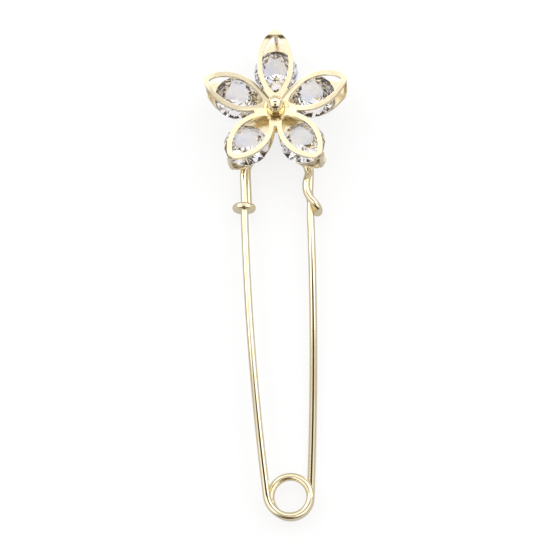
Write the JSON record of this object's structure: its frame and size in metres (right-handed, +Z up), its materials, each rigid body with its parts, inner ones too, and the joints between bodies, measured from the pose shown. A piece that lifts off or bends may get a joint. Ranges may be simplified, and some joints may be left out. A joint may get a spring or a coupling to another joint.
{
  "type": "safety pin brooch",
  "caption": "Large gold-coloured safety pin brooch bent from round wire, with a spring coil, a hooked catch, a stop bead and an open-petalled flower that cages clear cut stones round a ball.",
  "frame": {"origin": "middle of the brooch's length and width, on the surface that it lies on", "axes": "+Y from the spring coil to the flower, +Z up out of the flower's face, +X towards the needle's side"},
  "size_m": [0.0234, 0.0788, 0.009],
  "materials": {
    "gold": "polished pale gold plate",
    "stone": "clear, faceted and polished"
  },
  "bodies": {
    "brooch": {"pin_frame": "gold", "stop_bead": "gold", "front_frame": "gold", "centre_bead": "gold", "stone_1": "stone", "stone_2": "stone", "stone_3": "stone", "stone_4": "stone", "stone_5": "stone"},
    "needle": {"needle": "gold"}
  },
  "joints": [
    {"name": "needle_spring", "type": "hinge", "parent": "brooch", "child": "needle", "pos_m": [0.00225, -0.03569, 0.00063], "axis": [0, 0, 1], "range_deg": [0, 8], "stiffness_Nm_per_rad": 0.02, "springref_deg": -2.86}
  ]
}
